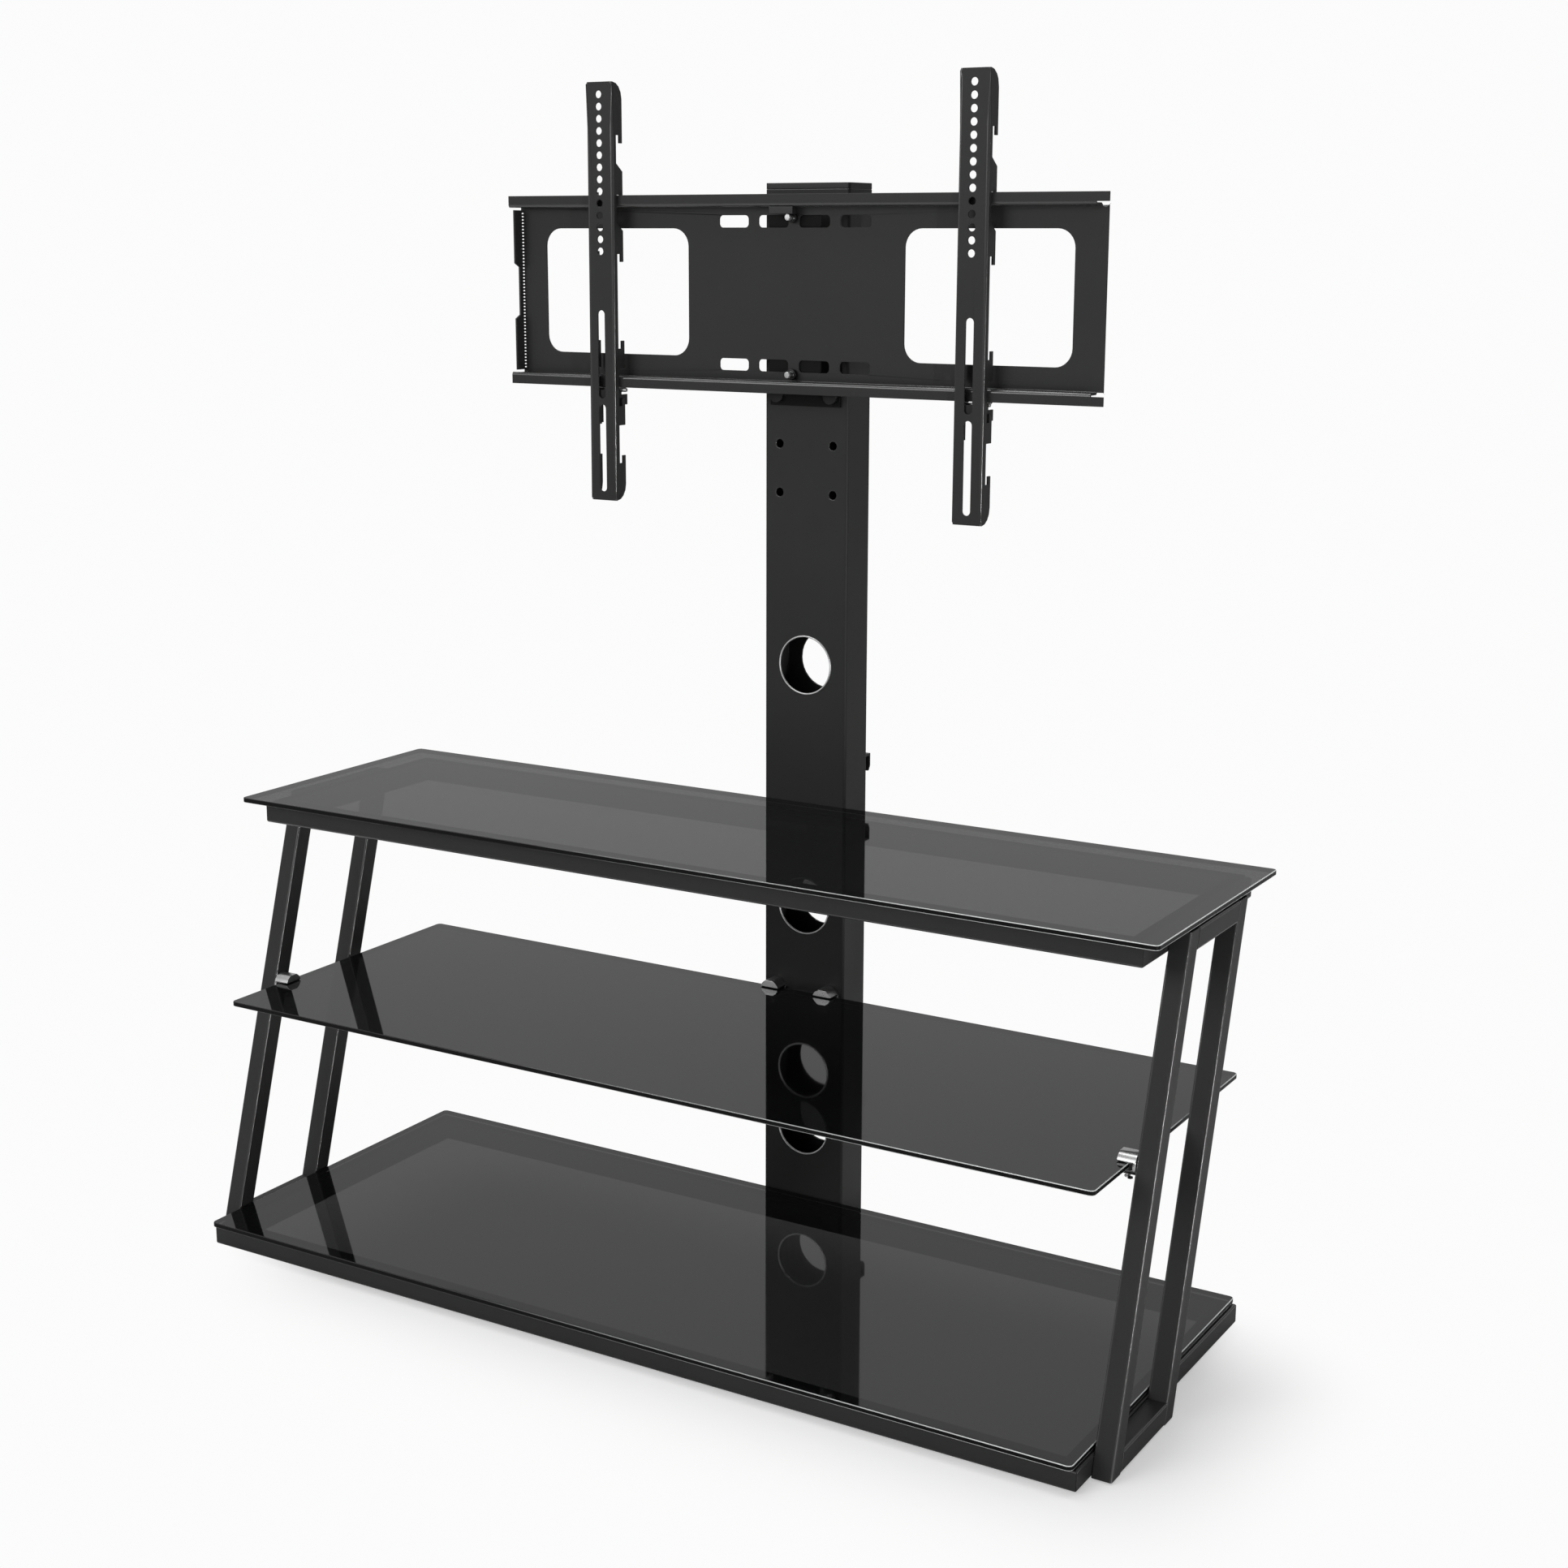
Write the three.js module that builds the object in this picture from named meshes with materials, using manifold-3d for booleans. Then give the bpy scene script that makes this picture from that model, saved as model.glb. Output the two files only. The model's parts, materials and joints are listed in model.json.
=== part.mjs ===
// TV stand with mount: three dark glass sheets on steel tube frames, a column behind them
// with cable holes, and a swivelling wall plate that carries two hooked screen brackets.
// Millimetres, +Z up, X across, the front towards -Y, the floor at z = 0.
// Inside the stand group y = 0 is the front face of the column.

import * as THREE from 'three';
import { mergeVertices } from 'three/addons/utils/BufferGeometryUtils.js';
import Module from 'manifold-3d';

const wasm = await Module();
wasm.setup();

// Clearances and cuts
const cutOverrun = 1;
const seatGap = 0.3;
const seamGap = 0.2;
const runningGap = 0.1;
const boltGap = 0.3;

// Facets of round shapes
const cornerFacets = 2;
const windowFacets = 4;
const holeFacets = 12;
const boltFacets = 10;
const cableHoleFacets = 32;

// Square frame tube
const tubeSize = 20;
const tubeWall = 1.5;
const tubeRadius = 2;

// Glass and what it rests on
const glassThickness = 5;
const glassCorner = 5;
const glassPadHeight = 2.5;
const glassPadSetback = 4;
const glassPadWidth = 12;
const glassBehindGap = 1.1;

// Floor pads
const floorPadHeight = 1.5;
const floorPadMargin = 3;
const sidePadLength = 112;
const rearPadLength = 40;

// Base frame and sheet
const frameWidth = 1004;
const baseFrameDepth = 387;
const baseGlassSideInset = 2;
const baseGlassFrontOverhang = 7.4;

// Middle sheet
const middleGlassSideGap = 7;
const middleGlassDepth = 346;
const middleGlassTop = 265.6;
const middleGlassBehindGap = 7.8;

// Top frame and sheet
const topFrameDepth = 265;
const topFrameStandOff = 15.2;
const topFrameBottom = 444.9;
const topGlassSideInset = 0.2;
const topGlassFrontOverhang = 15.7;
const topGlassBehindGap = 0.4;

// Leaning leg frames
const legLeanShare = 0.2955;
const legSetback = 29.8;
const legSpacing = 120.5;

// Column
const columnWidth = 98;
const columnDepth = 47;
const columnWall = 2;
const columnRadius = 3;
const columnTop = 1103;
const columnCapHeight = 6;
const columnCapPlug = 8;
const columnCapWall = 2;
const cableHoleRadius = 30.5;
const cableHoleHeights = { lower: 107.3, middle: 358.6, upper: 619.7 };

// Cable clips on the back of the column
const clipReach = 13.5;
const clipHeight = 21;
const clipWidth = 12;
const clipWall = 2.5;
const clipTaperShare = 0.45;
const clipHeights = { lower: 117.5, upper: 499 };

// Spacer between the top frame and the column
const spacerWidth = 80;
const spacerHeight = 18;
const spacerWall = 2;
const spacerRadius = 2.5;

// Bolts
const boltRadius = 3;
const boltHeadRadius = 5.5;
const boltHeadHeight = 3.5;
const nutRadius = 5.5;
const nutHeight = 5;
const boltTail = 3;

// Bolt holes up the column, and the bolts that use two rows of them
const heightBoltRadius = 4;
const heightBoltHeadRadius = 8;
const heightBoltHeadHeight = 5;
const heightNutRadius = 7;
const heightHoleRadius = 4.5;
const heightHoleSpread = 63;
const heightHolePitch = 50;
const heightHoleMargin = 54.3;
const heightHoleCount = 6;
const unusedTopRowCount = 0;
const usedRowStepCount = 3;

// Bracket on the column and the swivel that it carries
const mountBaseWidth = 82;
const mountBaseThickness = 3;
const mountBaseMargin = 10.7;
const earThickness = 3;
const earMargins = { lower: 48, upper: 19.4 };
const pinRadius = 4;
const pinHeadRadius = 6.5;
const pinHeadHeight = 3;
const pivotFromColumn = 11.5;
const baseEarRadius = 8.5;
const headEarRadius = 7.7;
const headPlateWidth = 60;
const headPlateThickness = 3;
const headPlateMargin = 11;

// Wall plate with its hooked rails
const plateStandOff = 24;
const sheetThickness = 2.2;
const plateHalfWidth = 338;
const railHalfWidth = 344;
const railLedgeHalfWidth = 334;
const railNotchStart = 331;
const railNotchHeight = 3.1;
const plateRises = { lower: 26, upper: 26.1 };
const railReach = 13.8;
const lipHeight = 12;
const windowInner = 125.4;
const windowOuter = 305.2;
const windowMargins = { lower: 22.2, upper: 21.2 };
const windowRadius = 18;
const slotLength = 35;
const slotHeight = 12;
const slotRadius = 4;
const slotNear = 23.8;
const slotFar = 70.5;
const slotMargins = { lower: 15, upper: 14.3 };
const sideFlangeGap = 2.4;
const sideFlangeWidth = 14;
const sideFlangeWaist = 6.5;
const sideFlangeWaistShares = { bottom: 0.324, top: 0.67 };
const sideFlangeSlope = 4;
const centreBoltMargins = { lower: 7, upper: 10.5 };
const centreBoltTail = 8.2;

// Level block under the upper rail
const levelLeft = -21;
const levelWidth = 27.5;
const levelHeight = 7.3;
const levelDepth = 8;

// Screen brackets
const bracketWidth = 32;
const bracketThickness = 2;
const bracketCentres = { left: -219.6, right: 208.7 };
const bracketAbove = 52.6;
const bracketBelow = 39.1;
const bracketFrontGap = 7.65;
const bracketFlange = 17.8;
const leftCheekDepth = 12.6;
const leftCheekStart = 3;
const bracketCorner = 16.5;
const hookPitch = 59.5;
const hookCount = 3;
const hookSlotFront = 7;
const hookSlotWidth = 6;
const hookDrop = 8;
const hookRecess = 20;
const hookSlope = 8;
const lowerHookRecess = 31.5;
const lowerHookBelowRail = 19.6;
const screenHoleRadius = 3.9;
const screenHoleFirst = 12.4;
const screenHoleShift = -1;
const screenHolePitch = 12.03;
const screenHoleCount = 14;
const screenSlotWidth = 8.6;
const screenSlotLength = 91;
const screenSlotEnd = 9.2;
const screenSlotBridge = 6.2;

// Safety locks of the screen brackets
const lockThickness = 2;
const lockReach = 25.4;
const lockWaist = 17.5;
const lockHeight = 30;
const lockWideHeight = 10.8;
const lockBelowRail = 7.8;
const lockEarGap = 0.4;
const lockEarReach = 14.8;
const lockEarHeight = 5.2;
const lockWebBelowRail = 3;
const lockWebHeight = 13.6;
const lockBarRadius = 1.6;
const lockBarFromFace = 9.8;
const lockBarBelowRail = 2.6;
const lockKnobRadius = 2.1;
const lockKnobLengths = { left: 10, right: 4.5 };
const lockBarEnd = 2;

// Glass clamps
const clampWidth = 23;
const clampReach = 18;
const clampThroat = 3;
const clampRootAbove = 11.6;
const clampTipAbove = 10.8;
const clampRootBelow = 10.6;
const clampTipBelow = 9;
const clampScrewRadius = 2;
const clampScrewInset = 6.5;
const clampScrewDrop = 12.3;
const clampScrewHead = 2.9;
const clampScrewHeadHeight = 1.8;
const linerThickness = 1;
const linerWidth = 20;
const linerInset = 1;
const linerReach = 3.7;
const clampFacets = 14;
const columnClampSpread = 65;

// Places worked out from the sizes above
const baseRailTop = floorPadHeight + tubeSize;
const baseGlassBottom = baseRailTop + glassPadHeight;
const topRailTop = topFrameBottom + tubeSize;
const topGlassBottom = topRailTop + glassPadHeight;
const middleGlassCentre = middleGlassTop - glassThickness / 2;
const frameHalf = frameWidth / 2;
const legOuter = frameHalf + tubeSize;
const legLean = Math.atan(legLeanShare);
const legDepth = tubeSize / Math.cos(legLean);
const baseGlassWidth = frameWidth - 2 * baseGlassSideInset;
const middleGlassWidth = frameWidth - 2 * middleGlassSideGap;
const topGlassWidth = 2 * legOuter - 2 * topGlassSideInset;
const legFrontAtFloor = baseFrameDepth - legSetback;
const baseFrameFront = -baseFrameDepth;
const baseGlassDepth = baseFrameDepth + baseGlassFrontOverhang - glassBehindGap;
const topFrameRear = -topFrameStandOff;
const topFrameFront = topFrameRear - topFrameDepth;
const topGlassDepth = topGlassFrontOverhang - topFrameFront - topGlassBehindGap;
const heightHoleTop = columnTop - heightHoleMargin;
const usedRowHeights = {
  lower: heightHoleTop - (unusedTopRowCount + usedRowStepCount) * heightHolePitch,
  upper: heightHoleTop - unusedTopRowCount * heightHolePitch,
};
const mountBaseBottom = usedRowHeights.lower - mountBaseMargin;
const mountBaseTop = usedRowHeights.upper + mountBaseMargin;
const earHeights = {
  lower: mountBaseBottom + earMargins.lower,
  upper: mountBaseTop - earMargins.upper,
};
const plateBottom = mountBaseBottom + plateRises.lower;
const plateTop = mountBaseTop + plateRises.upper;
const windowBottom = plateBottom + windowMargins.lower;
const windowTop = plateTop - windowMargins.upper;
const slotHeights = {
  lower: plateBottom + slotMargins.lower,
  upper: plateTop - slotMargins.upper,
};
const centreBoltHeights = {
  lower: plateBottom + centreBoltMargins.lower,
  upper: plateTop - centreBoltMargins.upper,
};
const plateFront = -plateStandOff - sheetThickness;
const lipFront = plateFront - railReach;
const upperLipTop = plateTop + lipHeight;
const lowerLipBottom = plateBottom - lipHeight;
const bracketFace = lipFront - bracketFrontGap;
const bearingHook = upperLipTop + seatGap;
const bracketTop = bearingHook + hookPitch + bracketAbove;
const lowestHook = lowerLipBottom - lowerHookBelowRail - hookPitch;
const bracketBottom = lowestHook - bracketBelow;
const headFront = -plateStandOff;
const pivotY = -pivotFromColumn;
const columnBoltSpread = heightHoleSpread;
const baseBoltHeight = floorPadHeight + tubeSize / 2;
const topBoltHeight = topFrameBottom + tubeSize / 2;

// Axis swaps: a drawn outline (u, v) and its depth w become these directions
const alongX = new THREE.Matrix4().makeBasis(
  new THREE.Vector3(0, 1, 0),
  new THREE.Vector3(0, 0, 1),
  new THREE.Vector3(1, 0, 0),
);
const forward = new THREE.Matrix4().makeBasis(
  new THREE.Vector3(1, 0, 0),
  new THREE.Vector3(0, 0, 1),
  new THREE.Vector3(0, -1, 0),
);

// Materials
function steel() {
  return new THREE.MeshStandardMaterial({ color: 0x2e2e2d, roughness: 0.5, metalness: 0.3 });
}

function darkSteel() {
  return new THREE.MeshStandardMaterial({ color: 0x161616, roughness: 0.45, metalness: 0.5 });
}

function darkGlass() {
  return new THREE.MeshStandardMaterial({ color: 0x0c0c0d, roughness: 0.03, metalness: 0 });
}

function zinc() {
  return new THREE.MeshStandardMaterial({ color: 0xc2c3c4, roughness: 0.32, metalness: 0.9 });
}

function blackPlastic() {
  return new THREE.MeshStandardMaterial({ color: 0x1b1b1b, roughness: 0.55, metalness: 0 });
}

function rubber() {
  return new THREE.MeshStandardMaterial({ color: 0x101010, roughness: 0.85, metalness: 0 });
}

// Solids and geometries
function toSolid(geometry) {
  const plain = geometry.clone();
  plain.deleteAttribute('normal');
  plain.deleteAttribute('uv');
  const merged = mergeVertices(plain);
  const vertProperties = Float32Array.from(merged.getAttribute('position').array);
  const triVerts = Uint32Array.from(merged.getIndex().array);
  return new wasm.Manifold(new wasm.Mesh({ numProp: 3, vertProperties, triVerts }));
}

function toGeometry(solid) {
  const mesh = solid.getMesh();
  const geometry = new THREE.BufferGeometry();
  geometry.setAttribute('position', new THREE.BufferAttribute(mesh.vertProperties, 3));
  geometry.setIndex(new THREE.BufferAttribute(mesh.triVerts, 1));
  geometry.computeVertexNormals();
  return geometry;
}

function cut(geometry, cutters) {
  let solid = toSolid(geometry);
  for (const cutter of cutters) {
    solid = solid.subtract(toSolid(cutter));
  }
  return toGeometry(solid);
}

function join(geometries) {
  let solid = toSolid(geometries[0]);
  for (const geometry of geometries.slice(1)) {
    solid = solid.add(toSolid(geometry));
  }
  return toGeometry(solid);
}

function overlapOf(first, second) {
  return toGeometry(toSolid(first).intersect(toSolid(second)));
}

function extrude(shape, depth, facets = cornerFacets) {
  return new THREE.ExtrudeGeometry(shape, { depth, bevelEnabled: false, curveSegments: facets });
}

function box(low, high) {
  const size = new THREE.Vector3().subVectors(high, low);
  const geometry = new THREE.BoxGeometry(size.x, size.y, size.z);
  const middle = new THREE.Vector3().addVectors(low, high).multiplyScalar(1 / 2);
  return geometry.translate(middle.x, middle.y, middle.z);
}

function corner(x, y, z) {
  return new THREE.Vector3(x, y, z);
}

// Outlines
function drawRounded(path, left, low, width, height, radius) {
  const right = left + width;
  const high = low + height;
  path.moveTo(left + radius, low);
  path.lineTo(right - radius, low);
  path.absarc(right - radius, low + radius, radius, -Math.PI / 2, 0, false);
  path.lineTo(right, high - radius);
  path.absarc(right - radius, high - radius, radius, 0, Math.PI / 2, false);
  path.lineTo(left + radius, high);
  path.absarc(left + radius, high - radius, radius, Math.PI / 2, Math.PI, false);
  path.lineTo(left, low + radius);
  path.absarc(left + radius, low + radius, radius, Math.PI, Math.PI * 3 / 2, false);
  return path;
}

function rounded(width, height, radius) {
  return drawRounded(new THREE.Shape(), -width / 2, -height / 2, width, height, radius);
}

function roundedTube(width, height, wall, radius) {
  const shape = rounded(width, height, radius);
  const inner = new THREE.Path();
  const innerWidth = width - 2 * wall;
  const innerHeight = height - 2 * wall;
  drawRounded(inner, -innerWidth / 2, -innerHeight / 2, innerWidth, innerHeight, radius - wall);
  shape.holes.push(inner);
  return shape;
}

function outline(points) {
  return new THREE.Shape(points.map(([u, v]) => new THREE.Vector2(u, v)));
}

// Round cutters along Y
function rodAlongY(x, start, end, z, radius, facets = boltFacets) {
  const rod = new THREE.CylinderGeometry(radius, radius, end - start, facets);
  return rod.translate(x, (start + end) / 2, z);
}

// A turned piece from [radius, height] rings, closed on its axis, pointing along +Z
function turned(rings, facets) {
  const points = rings.map(([radius, height]) => new THREE.Vector2(radius, height));
  return new THREE.LatheGeometry(points, facets).rotateX(Math.PI / 2);
}

function boltRings(headRadius, headHeight, shankRadius, grip, endNutRadius, endNutHeight, tail) {
  return [
    [0, -headHeight],
    [headRadius, -headHeight],
    [headRadius, 0],
    [shankRadius, 0],
    [shankRadius, grip],
    [endNutRadius, grip],
    [endNutRadius, grip + endNutHeight],
    [shankRadius, grip + endNutHeight],
    [shankRadius, grip + endNutHeight + tail],
    [0, grip + endNutHeight + tail],
  ];
}

function screwRings(headRadius, headHeight, shankRadius, length) {
  return [
    [0, -headHeight],
    [headRadius, -headHeight],
    [headRadius, 0],
    [shankRadius, 0],
    [shankRadius, length],
    [0, length],
  ];
}

const stand = new THREE.Group();

function add(parent, name, geometry, material) {
  const mesh = new THREE.Mesh(geometry, material);
  mesh.name = name;
  parent.add(mesh);
  return mesh;
}

// Mitred rails: the drawn tube lies with its outer face at v = 0 of the frame's edge
function mitre(geometry, length) {
  const position = geometry.getAttribute('position');
  for (let i = 0; i < position.count; i += 1) {
    const inward = position.getY(i) + tubeSize / 2;
    const along = position.getX(i);
    const end = length / 2 - inward - seamGap;
    position.setX(i, along > 0 ? end : -end);
  }
  return geometry;
}

function railGeometry(length) {
  const tube = extrude(roundedTube(tubeSize, tubeSize, tubeWall, tubeRadius), length);
  tube.applyMatrix4(alongX).translate(-length / 2, 0, 0);
  return mitre(tube, length);
}

function legFrontAt(z) {
  return -legFrontAtFloor + legLeanShare * z;
}

// One rectangular frame: front and rear rails, and side rails between their mitres
function addFrame(prefix, front, rear, bottom, boltHeight) {
  const depth = rear - front;
  const centreZ = bottom + tubeSize / 2;
  const frontRail = railGeometry(frameWidth).translate(0, front + tubeSize / 2, centreZ);
  add(stand, `${prefix}_front_rail`, frontRail, steel());

  const rearRail = railGeometry(frameWidth).rotateZ(Math.PI);
  rearRail.translate(0, rear - tubeSize / 2, centreZ);
  const rearHoles = [-1, 1].map((side) => rodAlongY(
    side * columnBoltSpread / 2,
    rear - tubeSize - cutOverrun,
    rear + cutOverrun,
    boltHeight,
    boltRadius + boltGap,
  ));
  add(stand, `${prefix}_rear_rail`, cut(rearRail, rearHoles), steel());

  for (const [name, side] of [['left', -1], ['right', 1]]) {
    const rail = railGeometry(depth).rotateZ(side * Math.PI / 2);
    rail.translate(side * (frameHalf - tubeSize / 2), (front + rear) / 2, centreZ);
    add(stand, `${prefix}_${name}_rail`, rail, steel());
  }
}

// Glass sheets
function glassGeometry(width, depth, rear, bottom) {
  const sheet = extrude(rounded(width, depth, glassCorner), glassThickness);
  return sheet.translate(0, rear - depth / 2, bottom);
}

function addGlass() {
  const baseSheet = glassGeometry(baseGlassWidth, baseGlassDepth, -glassBehindGap, baseGlassBottom);
  add(stand, 'base_glass', baseSheet, darkGlass());
  const middleBottom = middleGlassTop - glassThickness;
  const middleSheet = glassGeometry(
    middleGlassWidth,
    middleGlassDepth,
    -middleGlassBehindGap,
    middleBottom,
  );
  add(stand, 'middle_glass', middleSheet, darkGlass());
  const topSheet = glassGeometry(
    topGlassWidth,
    topGlassDepth,
    -topGlassBehindGap,
    topGlassBottom,
  );
  add(stand, 'top_glass', topSheet, darkGlass());
}

// A soft strip around the top of a frame, under its sheet
function addGlassPad(prefix, front, rear, bottom) {
  const width = frameWidth - 2 * glassPadSetback;
  const depth = rear - front - 2 * glassPadSetback;
  const shape = rounded(width, depth, glassPadSetback);
  const inner = new THREE.Path();
  const innerWidth = width - 2 * glassPadWidth;
  const innerDepth = depth - 2 * glassPadWidth;
  drawRounded(inner, -innerWidth / 2, -innerDepth / 2, innerWidth, innerDepth, tubeRadius);
  shape.holes.push(inner);
  const strip = extrude(shape, glassPadHeight).translate(0, (front + rear) / 2, bottom);
  add(stand, `${prefix}_glass_pad`, strip, rubber());
}

// Pads on the floor: long ones under each side rail and leg frame, short ones at the rear
function addFloorPads() {
  const footMiddle = legFrontAt(floorPadHeight) + (legDepth + legSpacing) / 2;
  const inner = frameHalf - tubeSize + floorPadMargin;
  for (const [name, side] of [['left', -1], ['right', 1]]) {
    for (const [place, outer, low, high] of [
      ['front', legOuter - floorPadMargin, footMiddle - sidePadLength / 2,
        footMiddle + sidePadLength / 2],
      ['rear', frameHalf - floorPadMargin, -floorPadMargin - rearPadLength, -floorPadMargin],
    ]) {
      const [left, right] = side < 0 ? [-outer, -inner] : [inner, outer];
      const pad = box(corner(left, low, 0), corner(right, high, floorPadHeight));
      add(stand, `${name}_${place}_floor_pad`, pad, rubber());
    }
  }
}

// Leaning legs and the bars that close each leg frame
function lean(geometry) {
  const shear = new THREE.Matrix4().makeShear(0, 0, 0, 0, 0, 0);
  shear.elements[9] = legLeanShare;
  return geometry.applyMatrix4(shear);
}

function legGeometry(x, offset) {
  const height = topRailTop - floorPadHeight;
  const section = roundedTube(tubeSize, legDepth, tubeWall, tubeRadius);
  const leg = extrude(section, height);
  leg.translate(x, -legFrontAtFloor + offset + legDepth / 2, floorPadHeight);
  return lean(leg);
}

function barGeometry(x, bottom) {
  const length = legSpacing - legDepth - 2 * seamGap;
  const bar = extrude(roundedTube(tubeSize, tubeSize, tubeWall, tubeRadius), length);
  bar.applyMatrix4(forward);
  const rear = -legFrontAtFloor + legSpacing - seamGap;
  bar.translate(x, rear, bottom + tubeSize / 2);
  return lean(bar);
}

function addLegFrame(name, side) {
  const x = side * (frameHalf + tubeSize / 2);
  add(stand, `${name}_front_leg`, legGeometry(x, 0), steel());
  add(stand, `${name}_rear_leg`, legGeometry(x, legSpacing), steel());
  add(stand, `${name}_bottom_bar`, barGeometry(x, floorPadHeight), steel());
  add(stand, `${name}_top_bar`, barGeometry(x, topFrameBottom), steel());
}

// Column
function columnCutters() {
  const cutters = Object.values(cableHoleHeights).map((z) => rodAlongY(
    0,
    -cutOverrun,
    columnDepth + cutOverrun,
    z,
    cableHoleRadius,
    cableHoleFacets,
  ));
  const frontHole = (x, z, radius) => rodAlongY(
    x,
    -cutOverrun,
    columnWall + cutOverrun,
    z,
    radius,
    holeFacets,
  );
  for (const side of [-1, 1]) {
    for (let row = 0; row < heightHoleCount; row += 1) {
      const z = heightHoleTop - row * heightHolePitch;
      cutters.push(frontHole(side * heightHoleSpread / 2, z, heightHoleRadius));
    }
    for (const z of [baseBoltHeight, topBoltHeight]) {
      cutters.push(frontHole(side * columnBoltSpread / 2, z, boltRadius + boltGap));
    }
  }
  return cutters;
}

function addColumn() {
  const section = roundedTube(columnWidth, columnDepth, columnWall, columnRadius);
  const tube = extrude(section, columnTop - floorPadHeight);
  tube.translate(0, columnDepth / 2, floorPadHeight);
  add(stand, 'column', cut(tube, columnCutters()), steel());

  const lid = extrude(rounded(columnWidth, columnDepth, columnRadius), columnCapHeight);
  lid.translate(0, columnDepth / 2, columnTop);
  const plugWidth = columnWidth - 2 * columnWall - 2 * seatGap;
  const plugDepth = columnDepth - 2 * columnWall - 2 * seatGap;
  const plug = extrude(rounded(plugWidth, plugDepth, columnWall), columnCapPlug + columnCapWall);
  plug.translate(0, columnDepth / 2, columnTop - columnCapPlug);
  const hollow = extrude(
    rounded(plugWidth - 2 * columnCapWall, plugDepth - 2 * columnCapWall, columnWall / 2),
    columnCapPlug + cutOverrun,
  );
  hollow.translate(0, columnDepth / 2, columnTop - columnCapPlug - cutOverrun);
  add(stand, 'column_cap', cut(join([lid, plug]), [hollow]), blackPlastic());
}

// Cable clips: a hook on the back face, open downwards
function addClips() {
  const taper = clipReach * clipTaperShare;
  const right = columnWidth / 2 - columnRadius;
  for (const [name, z] of Object.entries(clipHeights)) {
    const hook = outline([
      [0, 0],
      [clipWall, 0],
      [clipWall, clipHeight - clipWall],
      [clipReach - clipWall, clipHeight - clipWall],
      [clipReach - clipWall, clipHeight - clipReach],
      [clipReach - clipWall - taper / 2, clipWall],
      [clipReach - taper / 2, clipWall],
      [clipReach, clipHeight - clipReach],
      [clipReach, clipHeight],
      [0, clipHeight],
    ]);
    const clip = extrude(hook, clipWidth).applyMatrix4(alongX);
    clip.translate(right - clipWidth, columnDepth, z);
    add(stand, `${name}_cable_clip`, clip, blackPlastic());
  }
}

// Spacer and bolts that tie both frames to the column
function addColumnTies() {
  const section = roundedTube(spacerHeight, topFrameStandOff, spacerWall, spacerRadius);
  const spacer = extrude(section, spacerWidth).rotateY(Math.PI / 2);
  spacer.translate(-spacerWidth / 2, -topFrameStandOff / 2, topBoltHeight);
  const holes = [-1, 1].map((side) => rodAlongY(
    side * columnBoltSpread / 2,
    -topFrameStandOff - cutOverrun,
    cutOverrun,
    topBoltHeight,
    boltRadius + boltGap,
  ));
  add(stand, 'column_spacer', cut(spacer, holes), steel());

  for (const [name, gap, z] of [
    ['base', 0, baseBoltHeight],
    ['top', topFrameStandOff, topBoltHeight],
  ]) {
    const grip = tubeSize + gap + columnWall;
    const rings = boltRings(
      boltHeadRadius,
      boltHeadHeight,
      boltRadius,
      grip,
      nutRadius,
      nutHeight,
      boltTail,
    );
    for (const [hand, side] of [['left', -1], ['right', 1]]) {
      const bolt = turned(rings, boltFacets).rotateX(-Math.PI / 2);
      bolt.translate(side * columnBoltSpread / 2, -tubeSize - gap, z);
      add(stand, `${name}_${hand}_column_bolt`, bolt, darkSteel());
    }
  }
}

// An ear with a round end at the pivot, drawn from above
function earShape(radius, wallY) {
  const ear = new THREE.Shape();
  const front = wallY < pivotY;
  ear.moveTo(-radius, wallY);
  if (front) {
    ear.lineTo(radius, wallY);
    ear.lineTo(radius, pivotY);
    ear.absarc(0, pivotY, radius, 0, Math.PI, false);
  } else {
    ear.lineTo(-radius, pivotY);
    ear.absarc(0, pivotY, radius, Math.PI, Math.PI * 2, false);
    ear.lineTo(radius, wallY);
  }
  const hole = new THREE.Path();
  hole.absarc(0, pivotY, pinRadius + runningGap, 0, Math.PI * 2, true);
  ear.holes.push(hole);
  return ear;
}

// Bracket bolted to the column, with two ears for the pin
function addMountBase() {
  const plate = box(
    corner(-mountBaseWidth / 2, -mountBaseThickness, mountBaseBottom),
    corner(mountBaseWidth / 2, 0, mountBaseTop),
  );
  const holes = [];
  for (const z of Object.values(usedRowHeights)) {
    for (const side of [-1, 1]) {
      holes.push(rodAlongY(
        side * heightHoleSpread / 2,
        -mountBaseThickness - cutOverrun,
        cutOverrun,
        z,
        heightHoleRadius,
        holeFacets,
      ));
    }
  }
  const ears = Object.values(earHeights).map((z) => extrude(
    earShape(baseEarRadius, -mountBaseThickness / 2),
    earThickness,
    holeFacets,
  ).translate(0, 0, z));
  add(stand, 'mount_base', cut(join([plate, ...ears]), holes), steel());

  const rings = boltRings(
    heightBoltHeadRadius,
    heightBoltHeadHeight,
    heightBoltRadius,
    mountBaseThickness + columnWall,
    heightNutRadius,
    nutHeight,
    boltTail,
  );
  for (const [row, z] of Object.entries(usedRowHeights)) {
    for (const [hand, side] of [['left', -1], ['right', 1]]) {
      const bolt = turned(rings, holeFacets).rotateX(-Math.PI / 2);
      bolt.translate(side * heightHoleSpread / 2, -mountBaseThickness, z);
      add(stand, `${row}_${hand}_mount_bolt`, bolt, darkSteel());
    }
  }
}

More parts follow.
